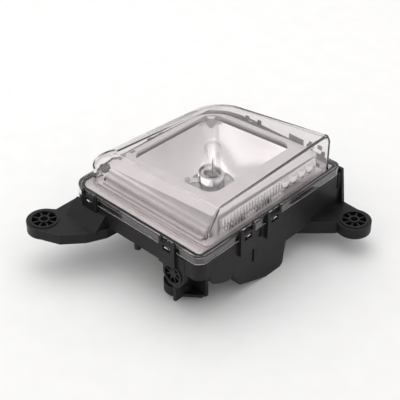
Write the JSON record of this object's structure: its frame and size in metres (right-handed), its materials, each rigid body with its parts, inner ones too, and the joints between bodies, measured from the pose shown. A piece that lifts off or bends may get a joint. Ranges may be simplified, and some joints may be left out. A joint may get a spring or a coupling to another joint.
{
  "type": "vehicle headlamp unit",
  "caption": "Vehicle headlamp unit lying on its back: clear domed lens clipped to a black housing with mounting ears, bright reflector bowl, bulb and aiming screw.",
  "frame": {"origin": "middle of the underside of the box round the lamp, on the surface it lies on", "axes": "+Z out of the lens, the way the light leaves; +X along the lens's shorter side towards its tall clear wall; +Y along its longer side"},
  "size_m": [0.217, 0.2374, 0.1089],
  "materials": {
    "black_plastic": "moulded, finely grained",
    "clear_lens": "clear, hard-coated",
    "sealant": "soft sealant",
    "metallised_plastic": "vacuum-metallised, mirror bright",
    "silver_trim": "satin silver",
    "steel": "zinc-plated",
    "bulb_glass": "clear",
    "tungsten": "drawn wire",
    "bulb_insulator": "moulded",
    "contact_brass": "tinned",
    "grey_plastic": "moulded",
    "rubber": "matt",
    "white_nylon": "moulded"
  },
  "bodies": {
    "housing": {"housing": "black_plastic", "lens": "clear_lens", "lens_seal": "sealant", "trim": "silver_trim", "trim_screws": "steel", "side_reflector": "metallised_plastic", "pivot_studs": "white_nylon", "vent_cap": "rubber"},
    "reflector": {"reflector": "metallised_plastic", "glare_shield": "metallised_plastic", "shield_rivet": "steel", "bulb_glass": "bulb_glass", "bulb_filament": "tungsten", "bulb_flange": "steel", "bulb_base": "bulb_insulator", "bulb_blades": "contact_brass", "aim_socket": "grey_plastic", "pivot_sockets": "grey_plastic"},
    "bulb_ring": {"bulb_ring": "grey_plastic"},
    "dust_boot": {"dust_boot": "rubber"},
    "adjuster": {"adjuster_screw": "white_nylon", "adjuster_seal": "rubber"},
    "aim_stud": {"aim_stud": "white_nylon"},
    "signal_lamp": {"signal_socket": "grey_plastic", "signal_seal": "rubber", "signal_bulb": "bulb_glass", "signal_blades": "contact_brass"}
  },
  "joints": [
    {"name": "adjuster_turn", "type": "hinge", "parent": "housing", "child": "adjuster", "pos_m": [-0.0225, -0.04225, 0.04], "axis": [0, 0, 1], "range_deg": [-1080, 1080]},
    {"name": "aim_stud_slide", "type": "slide", "parent": "housing", "child": "aim_stud", "axis": [0, 0, 1], "range_m": [-0.00305, 0.00305]},
    {"name": "reflector_tilt", "type": "hinge", "parent": "housing", "child": "reflector", "pos_m": [-0.0105, 0.09875, 0.056], "axis": [1, 0, 0], "range_deg": [-1.25, 1.25]},
    {"name": "bulb_ring_turn", "type": "hinge", "parent": "reflector", "child": "bulb_ring", "pos_m": [-0.0225, 0.03875, 0.036], "axis": [0, 0, 1], "range_deg": [0, 30]},
    {"name": "dust_boot_pull", "type": "slide", "parent": "housing", "child": "dust_boot", "axis": [0, 0, -1], "range_m": [0, 0.03]},
    {"name": "signal_lamp_turn", "type": "hinge", "parent": "housing", "child": "signal_lamp", "pos_m": [0.0435, 0.09175, 0.025], "axis": [0, 0, 1], "range_deg": [0, 60]}
  ],
  "couplings": [
    {"joint": "aim_stud_slide", "follows": "adjuster_turn", "m_per_rad": 0.00015915},
    {"joint": "reflector_tilt", "follows": "adjuster_turn", "ratio": -0.0011288}
  ]
}
